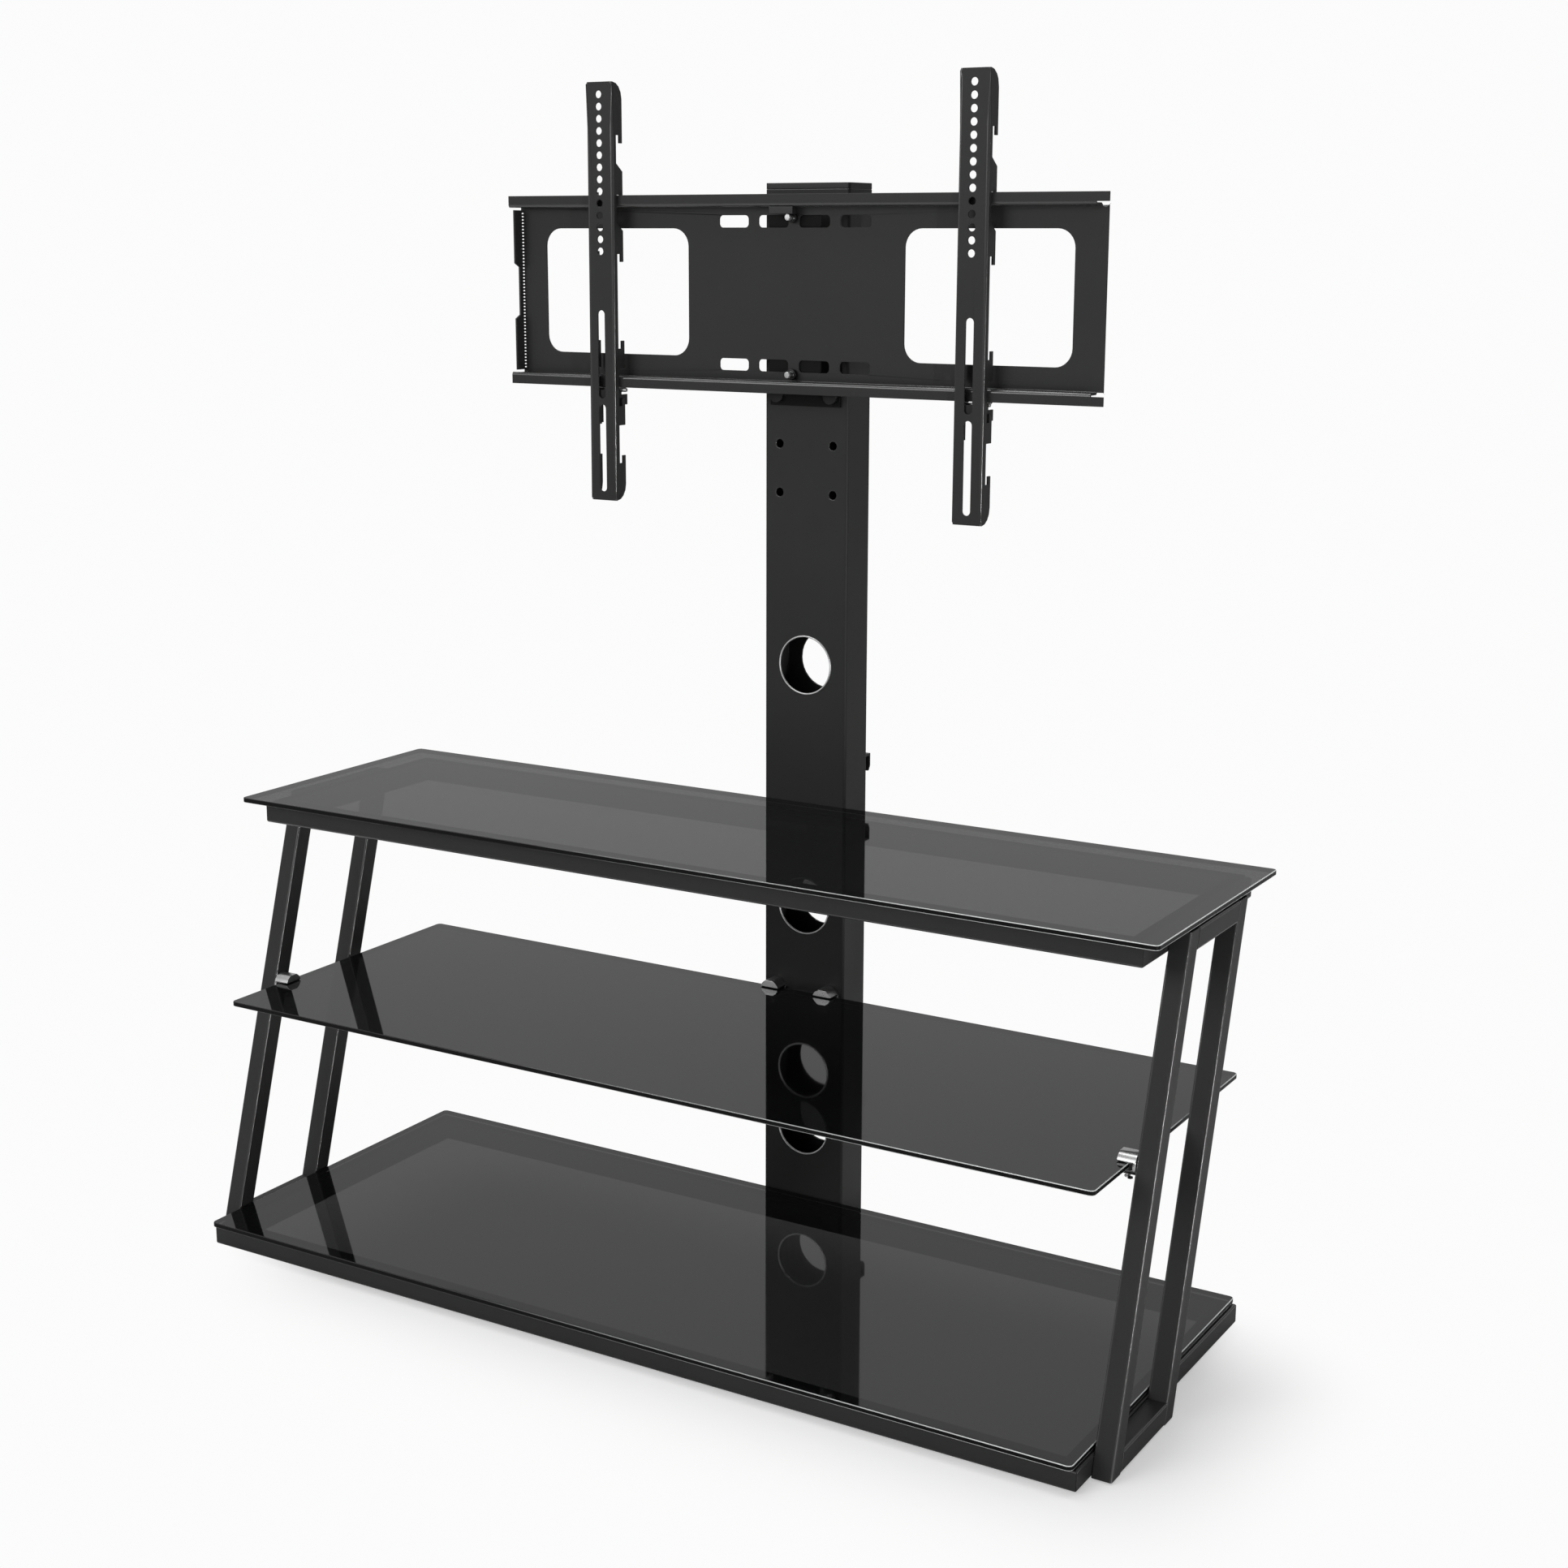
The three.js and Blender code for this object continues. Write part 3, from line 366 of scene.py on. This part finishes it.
def mouldedPlastic(name, look):
    finish = Finish(name)
    grain = finish.noise(look["grain"], 2.0, 0.5)
    cloud = finish.noise(look["cloud"], 3.0, 0.5)
    finish.shade(
        Base_Color=finish.mixed(cloud, grey(look["dark"]), grey(look["light"])),
        Roughness=wavering(look["roughness"], (grain, look["roughnessSpread"])),
        Normal=finish.bump(grain, look["grainHeight"], 0.4),
    )
    return finish.material


def softRubber(name, look):
    finish = Finish(name)
    grain = finish.noise(look["grain"], 4.0, 0.7)
    cloud = finish.noise(look["cloud"], 3.0, 0.5)
    finish.shade(
        Base_Color=finish.mixed(cloud, grey(look["dark"]), grey(look["light"])),
        Roughness=wavering(look["roughness"], (grain, look["roughnessSpread"])),
        Normal=finish.bump(grain, look["grainHeight"], 0.5),
    )
    return finish.material


# How much of each sheet's face is solid to light, and how strongly it mirrors
glassSheets = {
    "base_glass": {"solid": 0.84, "bend": 1.52},
    "middle_glass": {"solid": 0.93, "bend": 1.45},
    "top_glass": {"solid": 0.84, "bend": 1.5},
}
finishes = {
    "black_steel": powderCoat("powder coat", steelLook),
    "dark_hardware": blackOxide("black oxide", oxideLook),
    "zinc": zincPlate("zinc plate", zincLook),
    "black_plastic": mouldedPlastic("moulded plastic", plasticLook),
    "rubber": softRubber("soft rubber", rubberLook),
}
# Darker copies of the coat on the mount's inner sheets are painted shade
for innerNode in ("mount_base", "swivel_head"):
    finishes[innerNode] = powderCoat("powder coat " + innerNode.replace("_", " "), shadedInnerLook)
for sheetName, sheetLook in glassSheets.items():
    finishes[sheetName] = blackGlass(f"black glass {sheetName.split('_')[0]}", glassLook, sheetLook)
cornerHighlightFinish = powderCoat("powder coat corners", cornerHighlightLook)
groundFinish = groundGlass("ground glass edge", groundLook)
arrisHighlightFinish = paintedArrisHighlight("polished glass arris", arrisHighlightLook)
holeHighlightBeadFinish = zincPlate("bright bead", holeHighlightBeadLook)
print("finishes made:", len(finishes) + 4)


# Small edge rounds by material: width in metres, steps, and the least angle in degrees
edgeLooks = {
    "black_steel": {"width": 0.00035, "steps": 2, "angle": 38},
    "dark_hardware": {"width": 0.0003, "steps": 2, "angle": 44},
    "black_glass": {"width": 0.0007, "steps": 3, "angle": 30},
    "zinc": {"width": 0.0005, "steps": 2, "angle": 44},
    "black_plastic": {"width": 0.0005, "steps": 2, "angle": 38},
    "rubber": {"width": 0.0003, "steps": 2, "angle": 38},
}
dressing = {
    "tubeCorner": 0.12,  # faces under this share of a tube's largest are its corners
    "boltTip": 0.1318,  # a centre bolt is bright in front of this depth
    "columnRound": 0.0007,
    "foldSteps": 6,
    "broadShare": 0.02,  # faces one way with more than this share of the area shade flat
    "normalWeight": 60,
    "sameSpot": 2e-6,
    "sameWay": 0.6,
    "manyCorners": 12,
}


def pieceName(node):
    first, *rest = node.split("_")
    return first + "".join(word.capitalize() for word in rest)


# Folded edges of the sheets: each runs along one axis, at two places on the others
railFold = {"front": 0.12695, "sheet": 0.0022, "tops": ((1.0855, 1), (0.914, -1))}
bracketFold = {"sheet": 0.002, "outer": 0.0026, "inner": 0.0006}


def fold(axis, first, second, radius):
    return {"axis": axis, "at": (first, second), "radius": radius}


def plateFolds(look):
    front = look["front"]
    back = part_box("wall_plate")[1][1]
    sheet = look["sheet"]
    lines = []
    for top, way in look["tops"]:
        lines += [
            fold(0, front, top, 0.0032),
            fold(0, front + sheet, top + way * sheet, 0.0010),
            fold(0, back - sheet, top, 0.0008),
            fold(0, back, top + way * sheet, 0.0030),
        ]
    return lines


def bracketFolds(node, look):
    low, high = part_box(node)
    lines = []
    for side, way in ((low[0], 1), (high[0], -1)):
        lines.append(fold(2, side, low[1], look["outer"]))
        lines.append(fold(2, side + way * look["sheet"], low[1] + look["sheet"], look["inner"]))
    return lines


folds = {"wall_plate": plateFolds(railFold)}
for bracketNode in ("left_bracket", "right_bracket"):
    folds[bracketNode] = bracketFolds(bracketNode, bracketFold)


def markFolds(shape, lines):
    # The widest fold sets the bevel's width, and an edge's weight scales it
    widest = max(line["radius"] for line in lines)
    weight = shape.edges.layers.float.new("bevel_weight_edge")
    count = 0
    for edge in shape.edges:
        ends = [tuple(vert.co) for vert in edge.verts]
        for line in lines:
            others = [axis for axis in range(3) if axis != line["axis"]]
            if all(abs(end[axis] - place) < 1e-4 for end in ends for axis, place in zip(others, line["at"])):
                edge[weight] = line["radius"] / widest
                count += 1
    return widest, count


# Geometry Nodes: one shape repeated along a straight row
rowSizes = {
    "boxes": (("Size", "NodeSocketVector"),),
    "discs": (("Sides", "NodeSocketInt"), ("Radius", "NodeSocketFloat"), ("Depth", "NodeSocketFloat")),
    "rings": (("Sides", "NodeSocketInt"), ("Radius", "NodeSocketFloat"), ("Bead", "NodeSocketFloat")),
}
beadSides = 10


def singleShape(tree, shape, given):
    made = tree.nodes.new
    link = tree.links.new
    if shape == "boxes":
        single = made("GeometryNodeMeshCube")
        link(given["Size"], single.inputs["Size"])
    elif shape == "discs":
        single = made("GeometryNodeMeshCylinder")
        link(given["Sides"], single.inputs["Vertices"])
        link(given["Radius"], single.inputs["Radius"])
        link(given["Depth"], single.inputs["Depth"])
    else:
        around = made("GeometryNodeCurvePrimitiveCircle")
        link(given["Sides"], around.inputs["Resolution"])
        link(given["Radius"], around.inputs["Radius"])
        section = made("GeometryNodeCurvePrimitiveCircle")
        section.inputs["Resolution"].default_value = beadSides
        link(given["Bead"], section.inputs["Radius"])
        single = made("GeometryNodeCurveToMesh")
        link(around.outputs["Curve"], single.inputs["Curve"])
        link(section.outputs["Curve"], single.inputs["Profile Curve"])
    return single.outputs["Mesh"]


def rowTree(shape):
    tree = bpy.data.node_groups.new(f"row of {shape}", "GeometryNodeTree")
    tree.interface.new_socket("Geometry", in_out="OUTPUT", socket_type="NodeSocketGeometry")
    inputs = [
        ("Count", "NodeSocketInt"),
        ("Start", "NodeSocketVector"),
        ("Step", "NodeSocketVector"),
        ("Turn", "NodeSocketRotation"),
        ("Finish", "NodeSocketMaterial"),
        *rowSizes[shape],
    ]
    for label, kind in inputs:
        tree.interface.new_socket(label, in_out="INPUT", socket_type=kind)
    made = tree.nodes.new
    link = tree.links.new
    given = made("NodeGroupInput").outputs
    row = made("GeometryNodeMeshLine")
    link(given["Count"], row.inputs["Count"])
    link(given["Start"], row.inputs["Start Location"])
    link(given["Step"], row.inputs["Offset"])
    placed = made("GeometryNodeInstanceOnPoints")
    link(row.outputs["Mesh"], placed.inputs["Points"])
    link(singleShape(tree, shape, given), placed.inputs["Instance"])
    link(given["Turn"], placed.inputs["Rotation"])
    real = made("GeometryNodeRealizeInstances")
    link(placed.outputs[0], real.inputs[0])
    coated = made("GeometryNodeSetMaterial")
    link(real.outputs[0], coated.inputs["Geometry"])
    link(given["Finish"], coated.inputs["Material"])
    link(coated.outputs[0], made("NodeGroupOutput").inputs[0])
    return tree


rowTrees = {shape: rowTree(shape) for shape in rowSizes}


def makeRow(name, shape, finish, values):
    piece = bpy.data.objects.new(name, bpy.data.meshes.new(name))
    scene.collection.objects.link(piece)
    row = piece.modifiers.new("row", "NODES")
    row.node_group = rowTrees[shape]
    values = dict(values, Finish=finish)
    for socket in rowTrees[shape].interface.items_tree:
        if socket.in_out == "INPUT" and socket.name in values:
            row[socket.identifier] = values[socket.name]
    return piece


def settle(piece, name):
    # Live modifiers become a plain mesh
    graph = bpy.context.evaluated_depsgraph_get()
    live = piece.evaluated_get(graph)
    mesh = bpy.data.meshes.new_from_object(live, preserve_all_data_layers=True, depsgraph=graph)
    mesh.name = name
    piece.modifiers.clear()
    piece.data = mesh
    return piece


# The plate's left bend is perforated, and light shows through its short slits
perforation = {
    "at": (-0.33675, 0.1417),
    "low": 0.9190,
    "pitch": 0.00335,
    "count": 49,
    "slit": (0.0036, 0.0042, 0.0013),
}


def cutSlits(mesh, finish):
    sheet = bpy.data.objects.new("sheet", mesh)
    scene.collection.objects.link(sheet)
    cutter = makeRow("bend slits", "boxes", finish, {
        "Count": perforation["count"],
        "Start": (*perforation["at"], perforation["low"]),
        "Step": (0, 0, perforation["pitch"]),
        "Size": perforation["slit"],
    })
    slits = sheet.modifiers.new("slits", "BOOLEAN")
    slits.solver = "EXACT"
    slits.object = cutter
    settle(sheet, "sheet")
    cut = sheet.data
    bpy.data.objects.remove(sheet)
    bpy.data.objects.remove(cutter)
    cut.materials.clear()
    print("plate faces with slits:", len(cut.polygons))
    return cut


def merged(mesh):
    shape = bmesh.new()
    shape.from_mesh(mesh)
    bmesh.ops.remove_doubles(shape, verts=shape.verts, dist=dressing["sameSpot"])
    bmesh.ops.dissolve_limit(
        shape, angle_limit=math.radians(dressing["sameWay"]), verts=shape.verts, edges=shape.edges,
    )
    # A face with holes in it is cut up again, in its own plane
    holed = [face for face in shape.faces if len(face.verts) > dressing["manyCorners"]]
    bmesh.ops.triangulate(shape, faces=holed, ngon_method="BEAUTY")
    return shape


def flatten(mesh):
    # Broad faces shade flat up to their edges, found by how much area faces one way
    facing = {}
    ways = [tuple(round(part, 2) + 0.0 for part in face.normal) for face in mesh.polygons]
    for face, way in zip(mesh.polygons, ways):
        facing[way] = facing.get(way, 0.0) + face.area
    enough = sum(facing.values()) * dressing["broadShare"]
    normals = [tuple(normal.vector) for normal in mesh.corner_normals]
    for face, way in zip(mesh.polygons, ways):
        if facing[way] > enough:
            for loop in face.loop_indices:
                normals[loop] = tuple(face.normal)
    mesh.normals_split_custom_set(normals)


# A node may wear a second and a third finish: each function marks its faces and gives them
# Tube corners take the corner coat, whose lighter colour is a painted highlight
def tubeFinishes(shape):
    corner = max(face.calc_area() for face in shape.faces) * dressing["tubeCorner"]
    for face in shape.faces:
        face.material_index = int(face.calc_area() < corner)
    return (cornerHighlightFinish,)


def sheetFinishes(shape):
    for face in shape.faces:
        face.material_index = int(abs(face.normal.z) < 0.5)
    return (groundFinish, arrisHighlightFinish)


def boltFinishes(shape):
    # Only the tip of a centre bolt is bright, its nut and head are black
    for face in shape.faces:
        face.material_index = int(face.calc_center_median().y > dressing["boltTip"])
    return (finishes["dark_hardware"],)


# Folds take the corner coat, whose lighter colour is a painted highlight
def foldFinishes(shape):
    return (cornerHighlightFinish,)


def finishMarker(node):
    if node in glassSheets:
        return sheetFinishes
    if node.endswith(("rail", "leg", "bottom_bar", "top_bar")):
        return tubeFinishes
    if node.endswith("centre_bolt"):
        return boltFinishes
    if node in folds or node == "column":
        return foldFinishes
    return None


def roundEdges(piece, node, widest, edge):
    if node in folds:
        bend = piece.modifiers.new("folds", "BEVEL")
        bend.width = widest
        bend.segments = dressing["foldSteps"]
        bend.limit_method = "WEIGHT"
        bend.use_clamp_overlap = False
        bend.material = 1
    bevel = piece.modifiers.new("edges", "BEVEL")
    bevel.width = edge["width"]
    bevel.segments = edge["steps"]
    bevel.limit_method = "ANGLE"
    bevel.angle_limit = math.radians(edge["angle"])
    bevel.use_clamp_overlap = False
    # The glass arris takes the finish with the painted highlight
    if node in glassSheets:
        bevel.material = 2
    # The column's rounded edges and hole rims take the corner coat, whose lighter colour is a painted
    # highlight
    if node == "column":
        bevel.material = 1
        bevel.width = dressing["columnRound"]
    shading = piece.modifiers.new("shading", "WEIGHTED_NORMAL")
    shading.keep_sharp = False
    shading.weight = dressing["normalWeight"]


def dress(node, finish, edge):
    name = pieceName(node)
    mesh = frame["nodes"][node].data.copy()
    mesh.materials.clear()
    shape = merged(mesh)
    if node == "wall_plate":
        shape.to_mesh(mesh)
        shape.free()
        mesh = cutSlits(mesh, finish)
        shape = merged(mesh)
    for face in shape.faces:
        face.smooth = True
    widest = 0.0
    if node in folds:
        widest, count = markFolds(shape, folds[node])
        print("folds in", node, count)
    marker = finishMarker(node)
    others = marker(shape) if marker else ()
    shape.to_mesh(mesh)
    shape.free()
    for used in (finish, *others):
        mesh.materials.append(used)
    piece = bpy.data.objects.new(name, mesh)
    scene.collection.objects.link(piece)
    roundEdges(piece, node, widest, edge)
    settle(piece, name)
    if slotOf[node] in ("black_steel", "black_glass"):
        flatten(piece.data)
    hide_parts(node)
    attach(piece, bodyOf[node])


for nodeName in bodyOf:
    nodeSlot = slotOf[nodeName]
    dress(nodeName, finishes.get(nodeName) or finishes[nodeSlot], edgeLooks[nodeSlot])
print("nodes dressed")


# Small hardware, flat shaded, each riding with the node that holds it
def addSmall(piece, name, holder):
    settle(piece, name)
    for face in piece.data.polygons:
        face.use_smooth = False
    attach(piece, bodyOf[holder])


# Thread ridges on the tips of the two centre bolts
thread = {
    "heights": {"lower": 0.921, "upper": 1.075},
    "first": 0.1284,
    "pitch": 0.0009,
    "turns": 5,
    "sides": 20,
    "radius": 0.00316,
    "ridge": 0.00045,
}
for place, height in thread["heights"].items():
    ridges = makeRow(f"{place}BoltThread", "discs", finishes["zinc"], {
        "Count": thread["turns"],
        "Start": (0, thread["first"], height),
        "Step": (0, thread["pitch"], 0),
        "Turn": (math.pi / 2, 0, 0),
        "Sides": thread["sides"],
        "Radius": thread["radius"],
        "Depth": thread["ridge"],
    })
    addSmall(ridges, f"{place}BoltThread", f"{place}_centre_bolt")

# A six sided set screw under each glass clamp
setScrew = {"sides": 6, "radius": 0.0026, "depth": 0.0012}
for clampNode in ("left_leg_clamp", "right_leg_clamp", "column_left_clamp", "column_right_clamp"):
    low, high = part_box(clampNode)
    screwName = pieceName(clampNode) + "Screw"
    screw = makeRow(screwName, "discs", finishes["dark_hardware"], {
        "Count": 1,
        "Start": ((low[0] + high[0]) / 2, (low[1] + high[1]) / 2, low[2] - setScrew["depth"] / 2),
        "Sides": setScrew["sides"],
        "Radius": setScrew["radius"],
        "Depth": setScrew["depth"],
    })
    addSmall(screw, screwName, clampNode)

# Thin near-white beads round the cable holes at the column's front, a painted highlight standing in for the
# lit hole edges
cableRings = {
    "heights": {"lower": 0.1073, "middle": 0.3586, "upper": 0.6197},
    "sides": 64,
    "radius": 0.0305,
    "bead": 0.001,
}
for place, height in cableRings["heights"].items():
    ring = makeRow(f"{place}CableRing", "rings", holeHighlightBeadFinish, {
        "Count": 1,
        "Start": (0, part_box("column")[0][1], height),
        "Turn": (math.pi / 2, 0, 0),
        "Sides": cableRings["sides"],
        "Radius": cableRings["radius"],
        "Bead": cableRings["bead"],
    })
    addSmall(ring, f"{place}CableRing", "column")
print("small hardware placed")


# Studio: a pale floor, a large soft box overhead and softer ones around
studio = {
    "background": 0.97,
    "ambient": 0.42,
    "mirrorHeights": (0.0, 0.8),
    "mirrorHeightLevels": (0.40, 0.72),
    "mirrorDepths": (-0.5, 0.7),
    "mirrorDepthLevels": (0.72, 1.0),
    "rightSides": (0.1, 0.5),
    "rightSideLevels": (1.0, 0.30),
}
floorLook = {
    "colour": 0.70,
    "glow": 0.40,
    "plain": 0.97,
    "drop": 0.0002,
    "size": 40.0,
    "footprintMiddle": (0.10, -0.10, 0),
    "footprint": (0.40, 0.12, 1),
    "shadowNear": 0.01,
    "shadowFar": 0.20,
}
lamps = {
    "overhead": {"place": (-0.5, 0.3, 3.4), "aim": (0, 0, 0.3), "size": (2.6, 2.2), "power": 62.0},
    "front": {"place": (-1.6, -3.2, 2.0), "aim": (0, 0, 0.6), "size": (2.2, 1.6), "power": 30.0},
    "rearRight": {"place": (2.5, 1.7, 1.6), "aim": (0.4, 0, 0.5), "size": (0.7, 2.2), "power": 4.0},
    "rightStrip": {"place": (2.8, -1.5, 0.36), "aim": (0.5, -0.1, 0.36), "size": (0.07, 0.66), "power": 24.0},
}


def makeLamp(name, lamp):
    data = bpy.data.lights.new(name, "AREA")
    data.shape = "RECTANGLE"
    data.size, data.size_y = lamp["size"]
    data.energy = lamp["power"]
    made = bpy.data.objects.new(name, data)
    scene.collection.objects.link(made)
    made.location = lamp["place"]
    aim = Vector(lamp["aim"]) - Vector(lamp["place"])
    made.rotation_euler = aim.to_track_quat("-Z", "Y").to_euler()


def makeWorld(look):
    # Mirrors see a room that is darker low down, in front and to the right
    world = bpy.data.worlds.new("studio")
    scene.world = world
    world.use_nodes = True
    tree = world.node_tree
    tree.nodes.clear()
    made = tree.nodes.new
    link = tree.links.new

    def ranged(socket, span, levels):
        node = made("ShaderNodeMapRange")
        node.inputs["From Min"].default_value, node.inputs["From Max"].default_value = span
        node.inputs["To Min"].default_value, node.inputs["To Max"].default_value = levels
        link(socket, node.inputs["Value"])
        return Wire(tree, node.outputs[0])

    def chosen(factor, otherwise, when):
        node = made("ShaderNodeMix")
        for slot, value in ((0, factor), (2, otherwise), (3, when)):
            if isinstance(value, Wire):
                link(value.socket, node.inputs[slot])
            else:
                node.inputs[slot].default_value = value
        return Wire(tree, node.outputs[0])

    rays = made("ShaderNodeLightPath").outputs
    parts = made("ShaderNodeSeparateXYZ")
    link(made("ShaderNodeTexCoord").outputs["Generated"], parts.inputs[0])
    height = ranged(parts.outputs["Z"], look["mirrorHeights"], look["mirrorHeightLevels"])
    depth = ranged(parts.outputs["Y"], look["mirrorDepths"], look["mirrorDepthLevels"])
    side = ranged(parts.outputs["X"], look["rightSides"], look["rightSideLevels"])
    room = chosen(Wire(tree, rays["Is Glossy Ray"]), side * look["ambient"], height * (depth * side))
    # The plain background is what the camera sees, also through clear things
    camera = Wire(tree, rays["Is Camera Ray"])
    direct = camera.sum("MAXIMUM", camera, Wire(tree, rays["Is Transmission Ray"]))
    shade = made("ShaderNodeBackground")
    shade.inputs["Color"].default_value = grey(1.0)
    link(chosen(direct, room, look["background"]).socket, shade.inputs["Strength"])
    link(shade.outputs[0], made("ShaderNodeOutputWorld").inputs[0])


def makeFloor(look):
    half = look["size"] / 2
    corners = [(x, y, -look["drop"]) for x, y in ((-half, -half), (half, -half), (half, half), (-half, half))]
    mesh = bpy.data.meshes.new("floor")
    mesh.from_pydata(corners, [], [(0, 1, 2, 3)])
    floor = bpy.data.objects.new("floor", mesh)
    scene.collection.objects.link(floor)
    finish = Finish("floor")
    path = finish.tree.nodes.new("ShaderNodeLightPath")
    camera = Wire(finish.tree, path.outputs["Is Camera Ray"])

    def vector(operation, first, second=(0, 0, 0), out=0):
        return finish.node("ShaderNodeVectorMath", {"operation": operation}, {0: first, 1: second}, out)

    # How far a spot lies outside the base: its shadow ends there
    mirrored = vector("ABSOLUTE", vector("SUBTRACT", finish.place(), look["footprintMiddle"]))
    away = vector("LENGTH", vector("MAXIMUM", vector("SUBTRACT", mirrored, look["footprint"])), out=1)
    fade = finish.node(
        "ShaderNodeMapRange",
        {"interpolation_type": "SMOOTHSTEP"},
        {"Value": away, "From Min": look["shadowNear"], "From Max": look["shadowFar"]},
    )
    diffuse = finish.node("ShaderNodeBsdfDiffuse", None, {"Color": grey(look["colour"])})
    glow = finish.node("ShaderNodeEmission", None, {"Color": grey(1.0), "Strength": camera * look["glow"]})
    lit = finish.node("ShaderNodeAddShader", None, {0: diffuse, 1: glow})
    plain = finish.node("ShaderNodeEmission", None, {"Color": grey(1.0), "Strength": look["plain"]})
    both = finish.node("ShaderNodeMixShader", None, {0: fade * camera, 1: lit, 2: plain})
    finish.tree.links.new(both.socket, finish.output.inputs["Surface"])
    mesh.materials.append(finish.material)


makeWorld(studio)
makeFloor(floorLook)
for lampName, lampLook in lamps.items():
    makeLamp(lampName, lampLook)
print("studio ready")
